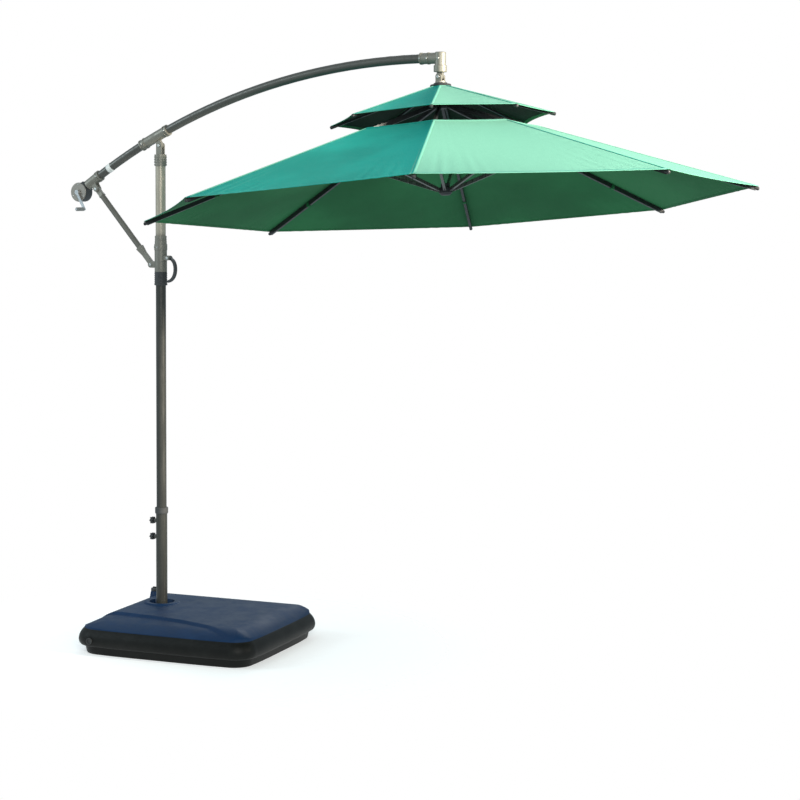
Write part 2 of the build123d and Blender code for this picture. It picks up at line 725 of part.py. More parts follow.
across_arm = Plane(origin=hang, x_dir=canopy_out, z_dir=canopy_out.cross(canopy_up))
with BuildPart() as hanger_fork:
    add(turned_canopy([(0, disc_low + 16), (23, disc_low + 16), (23, disc_low + 24), (0, disc_low + 24)]))
    for side in (-1, 1):
        with BuildSketch(across_arm.offset(side * 16)):
            Circle(13.5)
            with Locations((0, -11)):
                Rectangle(27, 22)
        extrude(amount=4.5, both=True)
    with BuildSketch(across_arm):
        Circle(5.6)
    extrude(amount=60, both=True, mode=Mode.SUBTRACT)
save(hanger_fork, "hanger_fork")


def sloping_bar(start, rise_angle, from_x, to_x, low, high, width):
    """A straight square bar through a hinge: its reach along the slope and its low and high sides, from the hinge."""
    with BuildPart() as bar:
        with BuildSketch(start):
            with Locations(Location((0, 0), rise_angle)):
                with Locations(((from_x + to_x) / 2, (low + high) / 2)):
                    Rectangle(to_x - from_x, high - low)
        extrude(amount=width / 2, both=True)
    return bar.part


def hinge_plane(number, radius, height):
    """The rib's upright plane moved to a hinge."""
    plane = rib_plane(number)
    return Plane(origin=plane.from_local_coords((radius, height, 0)), x_dir=plane.x_dir, z_dir=plane.z_dir)


rib_reach = (RIM_RADIUS - 12 - HINGE_RING) / cos(slope)
rib_drop_angle = -degrees(slope)


def fork_slot(start, angle, reach):
    """The slot and pin hole that let a bar straddle a hinge tag."""
    slot = sloping_bar(start, angle, -20, reach, -20, 20, 2 * FORK_GAP_HALF)
    with BuildPart() as hole:
        with BuildSketch(start):
            Circle(2.7)
        extrude(amount=20, both=True)
    return slot + hole.part


def main_rib(number):
    """One main rib: a bar with a forked inner end and a hanging tag for its stretcher."""
    start = hinge_plane(number, HINGE_RING, rib_height(HINGE_RING))
    with BuildPart() as rib:
        add(sloping_bar(start, rib_drop_angle, 0, rib_reach, -RIB_HEIGHT / 2, RIB_HEIGHT / 2, RIB_WIDTH))
        add(sloping_bar(start, rib_drop_angle, -5, 1, -5.5, 5.5, RIB_WIDTH))
        add(sloping_bar(start, rib_drop_angle, -10, rib_reach + 1, TUBE_WALL - RIB_HEIGHT / 2,
                        RIB_HEIGHT / 2 - TUBE_WALL, RIB_WIDTH - 2 * TUBE_WALL), mode=Mode.SUBTRACT)
        add(fork_slot(start, rib_drop_angle, 14), mode=Mode.SUBTRACT)
        with BuildSketch(start):
            with Locations(Location((0, 0), rib_drop_angle)):
                with Locations((STRETCHER_AT, -STRETCHER_DROP)):
                    Circle(6)
                with Locations((STRETCHER_AT, -STRETCHER_DROP / 2)):
                    Rectangle(12, STRETCHER_DROP)
        extrude(amount=TAG_HALF, both=True)
        with BuildSketch(start):
            with Locations(Location((0, 0), rib_drop_angle)):
                with Locations((STRETCHER_AT, -STRETCHER_DROP)):
                    Circle(2.4)
        extrude(amount=6.5, both=True)
    save(rib, f"rib_{number + 1}")


def top_rib(number):
    """One short rib of the vent tier, hinged on the upper ring of the hub."""
    start = hinge_plane(number, HINGE_RING, top_rib_height(HINGE_RING))
    angle = -degrees(top_slope)
    reach = (TOP_RIM_RADIUS - 12 - HINGE_RING) / cos(top_slope)
    with BuildPart() as rib:
        add(sloping_bar(start, angle, -4, reach, -TOP_RIB_SIZE / 2, TOP_RIB_SIZE / 2, TOP_RIB_SIZE + 4))
        add(sloping_bar(start, angle, 16, reach + 1, -20, 20, 40)
            - sloping_bar(start, angle, 16, reach + 1, -20, 20, TOP_RIB_SIZE), mode=Mode.SUBTRACT)
        add(fork_slot(start, angle, 13), mode=Mode.SUBTRACT)
    save(rib, f"top_rib_{number + 1}")


tag_radius = HINGE_RING + STRETCHER_AT * cos(slope) - STRETCHER_DROP * sin(slope)
tag_height = rib_height(HINGE_RING) - STRETCHER_AT * sin(slope) - STRETCHER_DROP * cos(slope)
stretcher_length = hypot(tag_radius - RUNNER[0], tag_height - RUNNER[1])
stretcher_angle = degrees(atan2(RUNNER[1] - tag_height, RUNNER[0] - tag_radius))


def stretcher(number):
    """One stretcher: a bar forked at both ends, from the rib's tag down to the runner."""
    start = hinge_plane(number, tag_radius, tag_height)
    finish = hinge_plane(number, *RUNNER)
    half = STRETCHER_HEIGHT / 2
    with BuildPart() as bar:
        add(sloping_bar(start, stretcher_angle, -5, stretcher_length + 5, -half, half, STRETCHER_WIDTH))
        add(sloping_bar(start, stretcher_angle, -10, stretcher_length + 10, TUBE_WALL - half,
                        half - TUBE_WALL, STRETCHER_WIDTH - 2 * TUBE_WALL), mode=Mode.SUBTRACT)
        add(fork_slot(start, stretcher_angle, 16), mode=Mode.SUBTRACT)
        add(fork_slot(finish, stretcher_angle + 180, 16), mode=Mode.SUBTRACT)
    save(bar, f"stretcher_{number + 1}")


for number in range(RIBS):
    main_rib(number)
    top_rib(number)
    stretcher(number)

with BuildPart() as runner:
    add(turned_canopy([(0, RUNNER[1] - 24), (20, RUNNER[1] - 24), (29, RUNNER[1] - 14), (29, RUNNER[1] + 8),
                       (20, RUNNER[1] + 12), (20, RUNNER[1] + 26), (0, RUNNER[1] + 26)]))
    add(hinge_tags(*RUNNER))
save(runner, "runner")

# ---- cloth --------------------------------------------------------------------------------------


def octagon(height, radius):
    """One level of the cloth's eight-sided plan, with its corners on the ribs."""
    with BuildSketch(rim_plane.offset(height)) as level:
        RegularPolygon(radius, RIBS, rotation=first_rib)
    return level.sketch


def eaves(rim_radius, rim_height, hole_radius, angle, thickness):
    """A closed eight-sided cloth shell that slopes up from its rim to an open hole."""
    rise = (rim_radius - hole_radius) * tan(angle)
    drop = thickness / cos(angle)
    with BuildPart() as shell:
        loft([octagon(rim_height, rim_radius), octagon(rim_height + rise, hole_radius)])
        loft([octagon(rim_height - drop, rim_radius), octagon(rim_height + rise - drop, hole_radius)],
             mode=Mode.SUBTRACT)
        loft([octagon(rim_height - 50, hole_radius), octagon(rim_height + rise + 50, hole_radius)],
             mode=Mode.SUBTRACT)
    return shell.part


with BuildPart() as main_canopy:
    add(eaves(RIM_RADIUS, 0, VENT_RADIUS, slope, CLOTH))
save(main_canopy, "main_canopy")

with BuildPart() as top_canopy:
    add(eaves(TOP_RIM_RADIUS, TOP_RIM_HEIGHT, TOP_HOLE_RADIUS, top_slope, CLOTH))
save(top_canopy, "top_canopy")
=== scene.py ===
"""Looks of the cantilever patio umbrella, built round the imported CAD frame.

Lengths are in metres in the frame's own axes: +Z up, +X from the pole along the arm to the canopy.
"""
import json
from math import cos, pi, radians, sin, tan

import bpy
import numpy as np
from mathutils import Matrix, Vector


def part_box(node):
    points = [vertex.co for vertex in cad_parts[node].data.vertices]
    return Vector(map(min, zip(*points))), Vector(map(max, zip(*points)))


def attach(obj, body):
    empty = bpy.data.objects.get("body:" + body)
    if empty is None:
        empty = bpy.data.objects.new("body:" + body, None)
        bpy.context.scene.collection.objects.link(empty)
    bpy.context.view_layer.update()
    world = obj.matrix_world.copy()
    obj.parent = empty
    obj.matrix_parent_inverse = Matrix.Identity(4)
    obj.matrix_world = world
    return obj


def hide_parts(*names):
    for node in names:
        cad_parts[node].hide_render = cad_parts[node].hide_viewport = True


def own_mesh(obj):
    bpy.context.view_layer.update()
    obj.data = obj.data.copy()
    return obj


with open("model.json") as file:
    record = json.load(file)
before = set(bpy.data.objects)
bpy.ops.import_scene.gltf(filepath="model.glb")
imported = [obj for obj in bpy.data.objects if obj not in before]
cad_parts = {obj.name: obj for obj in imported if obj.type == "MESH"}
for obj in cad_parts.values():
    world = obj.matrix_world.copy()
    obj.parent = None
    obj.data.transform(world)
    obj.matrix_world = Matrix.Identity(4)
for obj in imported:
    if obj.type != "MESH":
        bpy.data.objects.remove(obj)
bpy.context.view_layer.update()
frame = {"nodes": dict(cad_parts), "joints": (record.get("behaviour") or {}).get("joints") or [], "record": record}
joints = {j["name"]: j for j in frame["joints"]}
nodes = frame["nodes"]

# ---- sizes shared with the CAD model --------------------------------------------------------------
RIBS = 8
HANG_HEIGHT = 0.557            # the hanging bolt above the rim plane, along the canopy's axis
# A tier's keep is how narrow its cloth gathers when the canopy is closed, as a share of its open width.
MAIN_TIER = {"radius": 1.35, "rim": 0.0, "apex": 0.458, "hole": 0.415, "keep": 0.041}
TOP_TIER = {"radius": 0.492, "rim": 0.371, "apex": 0.527, "hole": 0.034, "keep": 0.27}
POLE_RADIUS = 0.024
CREASE_HEIGHT = 0.1215         # where the tank's top, painted blue as a reflection of the sky on black plastic, meets its black side

# ---- cloth ----------------------------------------------------------------------------------------
SCALLOP = 0.014                # how far a rim curves in between two ribs
SAG = 0.017                    # how far a panel dips between two ribs
WRINKLE = 0.0007               # height of the tension folds
HEM_WIDTH = 0.022
TOP_HOLE_HEM = 0.016           # width of the hem round the top tier's small hole
HEM_THICKNESS = 0.0026
HEM_LIFT = 0.0002              # the hem's middle above the cloth
HEM_OVERHANG = 0.0015          # and how far it reaches past the cloth's edge
SEAM_HALF = 0.008              # half a seam's width
WEAVE_PITCH = 0.0011
STITCH_PITCH = 0.0042
MAIN_GRID = (41, 46)           # points across a sector and down it
TOP_GRID = (25, 24)

# ---- camera ---------------------------------------------------------------------------------------
CAMERA_AT = (5.867, -8.215, 2.202)
CAMERA_AZIMUTH = 29.03         # the camera stands this far round towards +X
CAMERA_PITCH = 5.944           # and looks this far down
CAMERA_ROLL = 0.49
LENS_MM = 94.75

# ---- light ----------------------------------------------------------------------------------------
SKY_COLOUR = (0.78, 0.93, 1.0)
SKY_STRENGTH = 0.55
KEY_COLOUR = (1.0, 0.90, 0.76)
FRONT_COLOUR = (1.0, 0.97, 0.92)
FILL_COLOUR = (0.80, 0.94, 1.0)
BACK_COLOUR = (0.92, 0.96, 1.0)
FLOOR_REACH = 60.0
FLOOR_FADE = (0.65, 1.5)       # distances from the tank's middle where the floor starts and ends fading out


def make_camera():
    """The camera at the photograph's viewing angle."""
    azimuth, pitch, roll = (radians(a) for a in (CAMERA_AZIMUTH, CAMERA_PITCH, CAMERA_ROLL))
    ahead = Vector((-sin(azimuth) * cos(pitch), cos(azimuth) * cos(pitch), -sin(pitch)))
    right = Vector((cos(azimuth), sin(azimuth), 0))
    above = right.cross(ahead)
    right, above = right * cos(roll) + above * sin(roll), above * cos(roll) - right * sin(roll)
    data = bpy.data.cameras.new("camera")
    data.lens = LENS_MM
    data.sensor_width = 36
    camera = bpy.data.objects.new("camera", data)
    turn = Matrix((right, above, -ahead)).transposed().to_4x4()
    camera.matrix_world = Matrix.Translation(CAMERA_AT) @ turn
    bpy.context.scene.collection.objects.link(camera)
    bpy.context.scene.camera = camera


def place_lamp(name, data, at, towards, power, colour):
    """Put a lamp at a place, looking at a point."""
    data.energy = power
    data.color = colour
    lamp = bpy.data.objects.new(name, data)
    lamp.location = at
    lamp.rotation_euler = (Vector(towards) - Vector(at)).to_track_quat("-Z", "Y").to_euler()
    bpy.context.scene.collection.objects.link(lamp)


def area_light(name, at, towards, size, power, colour):
    """A soft square lamp."""
    data = bpy.data.lights.new(name, "AREA")
    data.shape = "SQUARE"
    data.size = size
    place_lamp(name, data, at, towards, power, colour)


def sun_patch(name, at, towards, angle, power, colour):
    """A low warm lamp with a soft edge, so that its light falls on the canopy and the arm."""
    data = bpy.data.lights.new(name, "SPOT")
    data.spot_size = radians(angle)
    data.spot_blend = 0.85
    data.shadow_soft_size = 0.35
    place_lamp(name, data, at, towards, power, colour)


def make_sky():
    """A pale blue sky for the light, which the camera sees as plain white."""
    world = bpy.data.worlds.new("studio")
    bpy.context.scene.world = world
    world.use_nodes = True
    tree = world.node_tree
    sky = tree.nodes["Background"]
    sky.inputs["Color"].default_value = (*SKY_COLOUR, 1)
    sky.inputs["Strength"].default_value = SKY_STRENGTH
    backdrop = tree.nodes.new("ShaderNodeBackground")
    seen = tree.nodes.new("ShaderNodeLightPath")
    choose = tree.nodes.new("ShaderNodeMixShader")
    backdrop.inputs["Color"].default_value = (1, 1, 1, 1)
    tree.links.new(seen.outputs["Is Camera Ray"], choose.inputs[0])
    tree.links.new(sky.outputs[0], choose.inputs[1])
    tree.links.new(backdrop.outputs[0], choose.inputs[2])
    tree.links.new(choose.outputs[0], tree.nodes["World Output"].inputs["Surface"])


def make_floor():
    """A pale floor that fades out round the tank."""
    mesh = bpy.data.meshes.new("floor")
    corners = [(-FLOOR_REACH, -FLOOR_REACH, 0), (FLOOR_REACH, -FLOOR_REACH, 0),
               (FLOOR_REACH, FLOOR_REACH, 0), (-FLOOR_REACH, FLOOR_REACH, 0)]
    mesh.from_pydata(corners, [], [(0, 1, 2, 3)])
    floor = bpy.data.objects.new("floor", mesh)
    bpy.context.scene.collection.objects.link(floor)
    material, shader, add = new_material("pale_floor", (0.88, 0.88, 0.87), 0.9)
    where = add("ShaderNodeTexCoord").outputs["Object"]
    middle = add("ShaderNodeVectorMath", Xoperation="DISTANCE", i0=where, i1=(0.25, -0.1, 0)).outputs["Value"]
    clear = add("ShaderNodeBsdfTransparent")
    fade = add("ShaderNodeMixShader")
    link(material, ramp(add, middle, *FLOOR_FADE), fade.inputs[0])
    shader.inputs["Emission Color"].default_value = (1, 1, 1, 1)
    shader.inputs["Emission Strength"].default_value = 0.40
    link(material, shader.outputs[0], fade.inputs[1])
    link(material, clear.outputs[0], fade.inputs[2])
    link(material, fade.outputs[0], material.node_tree.nodes["Material Output"].inputs["Surface"])
    mesh.materials.append(material)


def make_stage():
    """The floor in a white surrounding, with a warm lamp on the right and cooler ones elsewhere."""
    bpy.context.scene.view_settings.view_transform = "Standard"
    make_sky()
    make_floor()
    sun_patch("key", (9.0, 0.4, 3.9), (1.1, 0, 2.45), 30, 8200, KEY_COLOUR)
    area_light("front", (6.5, -7.5, 4.5), (0.8, 0, 1.2), 3.5, 430, FRONT_COLOUR)
    area_light("fill_left", (-6.5, -5.5, 5.0), (0.8, 0, 1.6), 4.0, 260, FILL_COLOUR)
    area_light("back", (-2.0, 8.0, 6.0), (1.0, 0, 2.2), 4.0, 110, BACK_COLOUR)


# ---- material tools -------------------------------------------------------------------------------
def new_material(name, colour, roughness, metallic=0.0):
    """A material with one shader; returns it with its shader and a function that adds nodes."""
    material = bpy.data.materials.new(name)
    material.use_nodes = True
    tree = material.node_tree
    shader = tree.nodes["Principled BSDF"]
    shader.inputs["Base Color"].default_value = (*colour, 1)
    shader.inputs["Roughness"].default_value = roughness
    shader.inputs["Metallic"].default_value = metallic

    def add(kind, **values):
        """Add a node; values name its sockets with _ for a space, and attributes start with a capital X."""
        node = tree.nodes.new(kind)
        for key, value in values.items():
            if key.startswith("X"):
                setattr(node, key[1:], value)
                continue
            place = int(key[1:]) if key[0] == "i" and key[1:].isdigit() else key.replace("_", " ")
            socket = node.inputs[place]
            if isinstance(value, bpy.types.NodeSocket):
                tree.links.new(value, socket)
            else:
                socket.default_value = value
        return node

    return material, shader, add


def link(material, source, target):
    """Join two sockets of a material."""
    material.node_tree.links.new(source, target)


def feed(socket, value):
    """Link an output to an input, or set the input to a number or to an (r, g, b)."""
    if isinstance(value, bpy.types.NodeSocket):
        socket.id_data.links.new(value, socket)
    elif isinstance(value, (int, float)):
        socket.default_value = value
    else:
        socket.default_value = (*value, 1)


def mix_colours(add, factor, first, second):
    """A colour between two others."""
    node = add("ShaderNodeMix", Xdata_type="RGBA")
    for place, value in ((0, factor), (6, first), (7, second)):
        feed(node.inputs[place], value)
    return node.outputs[2]


def mix_value(add, factor, first, second):
    """A value between two others."""
    node = add("ShaderNodeMix", Xdata_type="FLOAT")
    for place, value in ((0, factor), (2, first), (3, second)):
        feed(node.inputs[place], value)
    return node.outputs[0]


def math_node(add, operation, first, second=0.5):
    """The result of one sum. Operations on one value leave the second alone."""
    node = add("ShaderNodeMath", Xoperation=operation)
    feed(node.inputs[0], first)
    feed(node.inputs[1], second)
    return node.outputs[0]


def ramp(add, source, low, high, start=0.0, end=1.0):
    """A smooth remap of a value from low..high to start..end."""
    node = add("ShaderNodeMapRange", Xinterpolation_type="SMOOTHSTEP",
               From_Min=low, From_Max=high, To_Min=start, To_Max=end)
    feed(node.inputs["Value"], source)
    return node.outputs["Result"]


def noise(add, vector, scale, detail=3.0, roughness=0.5):
    """Cloudy noise of a place."""
    node = add("ShaderNodeTexNoise", Vector=vector, Scale=scale, Detail=detail, Roughness=roughness)
    return node.outputs["Fac"]


def streaks(add, vector, scale, detail=3.0, roughness=0.5, turn=(0, 0, 0)):
    """Noise with a scale of its own along each axis, after a turn of the place."""
    place = add("ShaderNodeMapping", Vector=vector, Scale=scale, Rotation=turn).outputs[0]
    return noise(add, place, 1.0, detail, roughness)


def waves(add, source, pitch):
    """A sine of a length, with one wave for each pitch."""
    return math_node(add, "SINE", math_node(add, "MULTIPLY", source, 2 * pi / pitch))


def tint(colour, share, extra=0.0):
    """A colour made darker or lighter."""
    return tuple(min(1, c * share + extra) for c in colour)


# ---- materials ------------------------------------------------------------------------------------
CLOTH_GREEN = (0.006, 0.365, 0.30)
# painted light: a paler green for cloth that leans towards the warm key lamp on the right
CLOTH_PAINTED_SUNLIT = (0.168, 0.44, 0.335)
# painted shade: the darker greens of the top tier's lower face and of the canopy's lower face
CLOTH_SHADED = (0.006, 0.020, 0.010)
CLOTH_UNDER_SHADE = (0.028, 0.165, 0.062)
PAINTED_SUN_LEAN = (-0.05, 0.10)       # sideways lean of the cloth where the painted sunlight starts and where it is full


def cloth_material(name, stitch_rows=(), colour=CLOTH_GREEN, under=CLOTH_UNDER_SHADE):
    """Dyed polyester canvas: weave and slub from the flat pattern's coordinates, painted lighter where it leans
    towards the warm key lamp, and painted darker on its lower face for the shade there.

    stitch_rows are the places across a hem or a seam, in metres, of its lines of stitches. A piece that has them
    is a closed band, whose lower face is known by its normal; the open cloth's is known by its winding.
    """
    painted_sunlit = CLOTH_PAINTED_SUNLIT if colour == CLOTH_GREEN else colour
    material, shader, add = new_material(name, colour, 0.78)
    flat = add("ShaderNodeUVMap", Xuv_map="flat").outputs[0]
    split = add("ShaderNodeSeparateXYZ", Vector=flat)
    where = add("ShaderNodeTexCoord").outputs["Object"]
    patches = ramp(add, noise(add, where, 1.7, 4.0), 0.35, 0.68)
    slub = streaks(add, flat, (900, 26, 1), 2.0)
    weave = math_node(add, "MULTIPLY", waves(add, split.outputs[0], WEAVE_PITCH),
                      waves(add, split.outputs[1], WEAVE_PITCH))
    base = mix_colours(add, patches, tint(colour, 0.80), tint(colour, 1.10, 0.004))
    facing = add("ShaderNodeSeparateXYZ", Vector=add("ShaderNodeTexCoord").outputs["Normal"])
    # painted light: cloth that leans towards +X, where the key lamp stands, takes the paler green
    base = mix_colours(add, ramp(add, facing.outputs[0], *PAINTED_SUN_LEAN), base, painted_sunlit)
    slubbed = mix_colours(add, 0.28, base, (0, 0, 0))
    base = mix_colours(add, ramp(add, slub, 0.30, 0.75, 0.0, 0.25), base, slubbed)
    height = math_node(add, "ADD", math_node(add, "MULTIPLY", weave, 0.5), math_node(add, "MULTIPLY", slub, 0.8))
    if stitch_rows:
        dash = ramp(add, waves(add, split.outputs[1], STITCH_PITCH), -0.35, 0.1)
        rows = None
        for row in stitch_rows:
            away = math_node(add, "ABSOLUTE", math_node(add, "SUBTRACT", split.outputs[0], row))
            line = ramp(add, away, 0.0004, 0.0010, 1.0, 0.0)
            rows = line if rows is None else math_node(add, "MAXIMUM", rows, line)
        base = mix_colours(add, math_node(add, "MULTIPLY", rows, dash), base, tint(colour, 1.5, 0.05))
        height = math_node(add, "SUBTRACT", height, math_node(add, "MULTIPLY", rows, 3.0))
        inside = math_node(add, "LESS_THAN", facing.outputs[2], -0.1)
    else:
        inside = add("ShaderNodeNewGeometry").outputs["Backfacing"]
    bump = add("ShaderNodeBump", Strength=0.28, Distance=0.0006, Height=height)
    # painted shade: the lower face takes a darker green, for the shade under the canopy
    base = mix_colours(add, inside, base, mix_colours(add, patches, tint(under, 0.85), tint(under, 1.2)))
    link(material, base, shader.inputs["Base Color"])
    link(material, bump.outputs[0], shader.inputs["Normal"])
    link(material, ramp(add, slub, 0.2, 0.8, 0.62, 0.80), shader.inputs["Roughness"])
    link(material, mix_value(add, inside, 0.05, 0.10), shader.inputs["Specular IOR Level"])
    shader.inputs["Sheen Weight"].default_value = 0.02
    shader.inputs["Sheen Roughness"].default_value = 0.45
    shader.inputs["Sheen Tint"].default_value = (1.0, 0.92, 0.82, 1)
    through = add("ShaderNodeBsdfTranslucent", Color=base, Normal=bump.outputs[0])
    both = add("ShaderNodeMixShader")
    both.inputs[0].default_value = 0.05
    link(material, shader.outputs[0], both.inputs[1])
    link(material, through.outputs[0], both.inputs[2])
    link(material, both.outputs[0], material.node_tree.nodes["Material Output"].inputs["Surface"])
    return material


def powder_coat(name, colour, roughness=0.42, speckle=0.10, scuff=0.25, metallic=0.35, above=None):
    """Powder-coated metal: fine orange peel, metallic speckle, dust and rubbed patches.

    The last argument is (height, height, colour): painted light, the pole turns to a second, paler colour between
    two heights, for the sunlight on its upper part.
    """
    material, shader, add = new_material(name, colour, roughness, metallic)
    where = add("ShaderNodeTexCoord").outputs["Object"]
    fleck = noise(add, where, 1400.0, 1.0)
    peel = noise(add, where, 420.0, 2.0)
    dust = noise(add, where, 9.0, 5.0, 0.6)
    rub = streaks(add, where, (60, 60, 7), 4.0, 0.65)
    base = mix_colours(add, ramp(add, fleck, 0.50, 0.72, 0.0, speckle * 4), colour, tint(colour, 1.7, 0.03))
    base = mix_colours(add, ramp(add, dust, 0.42, 0.75, 0.0, 0.30), base, tint(colour, 0.62))
    base = mix_colours(add, ramp(add, rub, 0.62, 0.80, 0.0, scuff), base, tint(colour, 1.5, 0.05))
    # painted light: the pole is paler above these heights, for the sun on its upper part
    if above:
        height = add("ShaderNodeSeparateXYZ", Vector=where).outputs[2]
        second = mix_colours(add, ramp(add, rub, 0.5, 0.8), above[2], tint(above[2], 1.25))
        base = mix_colours(add, ramp(add, height, above[0], above[1]), base, second)
    link(material, base, shader.inputs["Base Color"])
    link(material, ramp(add, rub, 0.3, 0.8, roughness - 0.10, roughness + 0.16), shader.inputs["Roughness"])
    rounded = add("ShaderNodeBevel", Radius=0.0012)
    bump = add("ShaderNodeBump", Strength=0.12, Distance=0.0004, Height=peel, Normal=rounded.outputs[0])
    link(material, bump.outputs[0], shader.inputs["Normal"])
    return material


def moulded_plastic(name, colour, roughness=0.5):
    """Moulded plastic with a fine spark-eroded grain, scuffs and a little dust."""
    material, shader, add = new_material(name, colour, roughness)
    where = add("ShaderNodeTexCoord").outputs["Object"]
    pits = add("ShaderNodeTexVoronoi", Vector=where, Scale=700.0).outputs["Distance"]
    dust = noise(add, where, 14.0, 5.0, 0.62)
    scratch = streaks(add, where, (160, 24, 90), 5.0, 0.7, (0.4, 0.2, 0.7))
    base = mix_colours(add, ramp(add, dust, 0.45, 0.75, 0.0, 0.35), colour, tint(colour, 1.6, 0.012))
    base = mix_colours(add, ramp(add, scratch, 0.64, 0.74, 0.0, 0.35), base, tint(colour, 2.2, 0.02))
    link(material, base, shader.inputs["Base Color"])
    link(material, ramp(add, dust, 0.3, 0.75, roughness - 0.06, roughness + 0.16), shader.inputs["Roughness"])
    rounded = add("ShaderNodeBevel", Radius=0.0010)
    bump = add("ShaderNodeBump", Strength=0.35, Distance=0.0005, Height=pits, Normal=rounded.outputs[0])
    link(material, bump.outputs[0], shader.inputs["Normal"])
    return material


def bright_metal(name, colour, roughness, brushing):
    """Plated or plain steel with fine drawing lines, as strong as brushing, and faint tarnish."""
    material, shader, add = new_material(name, colour, roughness, 1.0)
    where = add("ShaderNodeTexCoord").outputs["Object"]
    lines = streaks(add, where, (900, 60, 60))
    stain = noise(add, where, 35.0, 4.0)
    base = mix_colours(add, ramp(add, stain, 0.45, 0.75, 0.0, 0.45), colour, tint(colour, 0.55))
    link(material, base, shader.inputs["Base Color"])
    link(material, ramp(add, stain, 0.3, 0.8, roughness, roughness + 0.2), shader.inputs["Roughness"])
    bump = add("ShaderNodeBump", Strength=brushing, Distance=0.0003, Height=lines)
    link(material, bump.outputs[0], shader.inputs["Normal"])
    return material


def tank_material(name, top, side):
    """Blow-moulded black tank: smooth top painted navy, a painted reflection of the blue sky, that turns into
    pebbled near-black sides.
    """
    material, shader, add = new_material(name, top, 0.4)
    where = add("ShaderNodeTexCoord").outputs["Object"]
    height = add("ShaderNodeSeparateXYZ", Vector=where).outputs[2]
    sky_tinted_top = ramp(add, height, CREASE_HEIGHT - 0.0026, CREASE_HEIGHT - 0.0006)
    pebble = add("ShaderNodeTexVoronoi", Vector=where, Scale=230.0, Xfeature="SMOOTH_F1").outputs["Distance"]
    ripple = noise(add, where, 7.0, 3.0)
    dust = noise(add, where, 11.0, 5.0, 0.65)
    scratch = streaks(add, where, (22, 140, 80), 5.0, 0.7, (0, 0, 0.5))
    # painted reflection: the top's navy stands in for the blue sky reflected on the black plastic
    upper = mix_colours(add, ramp(add, dust, 0.40, 0.78, 0.0, 0.5), top, tint(top, 1.5, 0.008))
    upper = mix_colours(add, ramp(add, scratch, 0.66, 0.76, 0.0, 0.35), upper, tint(top, 2.0, 0.02))
    lower = mix_colours(add, ramp(add, dust, 0.35, 0.75, 0.0, 0.6), side, tint(side, 1.8, 0.003))
    link(material, mix_colours(add, sky_tinted_top, lower, upper), shader.inputs["Base Color"])
    dull = ramp(add, dust, 0.3, 0.8, 0.42, 0.60)
    link(material, mix_value(add, sky_tinted_top, 0.46, dull), shader.inputs["Roughness"])
    link(material, mix_value(add, sky_tinted_top, 0.16, 0.17), shader.inputs["Specular IOR Level"])
    grain = math_node(add, "MULTIPLY", pebble, mix_value(add, sky_tinted_top, 1.0, 0.10))
    bump = add("ShaderNodeBump", Strength=0.5, Distance=0.0015, Height=grain)
    wave = add("ShaderNodeBump", Strength=0.25, Distance=0.004, Height=ripple, Normal=bump.outputs[0])
    link(material, wave.outputs[0], shader.inputs["Normal"])
    return material


PAINTED_SUNLIT_POLE = (1.90, 1.96, (0.41, 0.365, 0.29))     # painted sunlight: heights of the pole between which it turns paler, and its paler colour
paint_bronze = powder_coat("bronze_powder_coat", (0.14, 0.132, 0.112))
paint_pole = powder_coat("pole_coat", (0.048, 0.048, 0.042), 0.36, 0.08, above=PAINTED_SUNLIT_POLE)
paint_dark = powder_coat("dark_powder_coat", (0.028, 0.030, 0.030), 0.38, 0.06)
paint_arm = powder_coat("arm_powder_coat", (0.088, 0.086, 0.076), 0.36, 0.08)
paint_stretcher = powder_coat("stretcher_coat", (0.16, 0.155, 0.145), 0.30, 0.05, metallic=0.7)
paint_lower = powder_coat("lower_pole_coat", (0.050, 0.050, 0.043), 0.40, 0.08)
paint_light = powder_coat("winch_face_coat", (0.27, 0.25, 0.22), 0.42, 0.08)
paint_cast = powder_coat("cast_grey_paint", (0.21, 0.20, 0.168), 0.46, 0.10, scuff=0.35)
plastic_black = moulded_plastic("black_plastic", (0.018, 0.019, 0.020), 0.48)
plastic_white = moulded_plastic("white_plastic", (0.80, 0.80, 0.76), 0.45)
plastic_grey = moulded_plastic("grey_plastic", (0.22, 0.22, 0.21), 0.45)
plastic_charcoal = moulded_plastic("charcoal_plastic", (0.040, 0.042, 0.043), 0.5)
steel = bright_metal("zinc_steel", (0.55, 0.55, 0.53), 0.32, brushing=0.10)
chrome = bright_metal("chrome_plate", (0.80, 0.81, 0.82), 0.12, brushing=0.03)
# painted reflection: the navy top colour is the sky reflected on the black tank
sky_tinted_tank = tank_material("tank_plastic", (0.0045, 0.023, 0.068), (0.004, 0.0045, 0.004))
cloth = cloth_material("canopy_cloth")
top_cloth = cloth_material("top_cloth", under=CLOTH_SHADED)
# painted shade: the ties under the ribs take the shaded lower face's green
tape = cloth_material("tie_tape", (0.003,), CLOTH_UNDER_SHADE, CLOTH_UNDER_SHADE)
hem_cloth = cloth_material("hem_cloth", (0.004, 0.018))
seam_cloth = cloth_material("seam_cloth", (-0.0045, 0.0045))

SLOT_LOOKS = {
    "tank_plastic": sky_tinted_tank, "ballast": plastic_black, "steel_bronze": paint_bronze, "cast_grey": paint_cast,
    "steel_plain": steel, "chrome_parts": chrome, "black_plastic": plastic_black,
    "charcoal_plastic": plastic_charcoal, "rib_paint": paint_dark, "canopy_cloth": cloth,
}
NODE_LOOKS = {
    "arm_tube": paint_arm, "pole_tube": paint_pole, "base_tube": paint_lower, "winch_cover": paint_light,
    "crank_knob": plastic_grey, **{f"stretcher_{number}": paint_stretcher for number in range(1, RIBS + 1)},
}


def dress_nodes():
    """Give each CAD node its own look, or else the look of its material slot."""
    slots = {s["node"]: s["material_slot"] for s in frame["record"]["subparts"]}
    for name, node in nodes.items():
        node.data.materials.clear()
        node.data.materials.append(NODE_LOOKS.get(name, SLOT_LOOKS[slots[name]]))


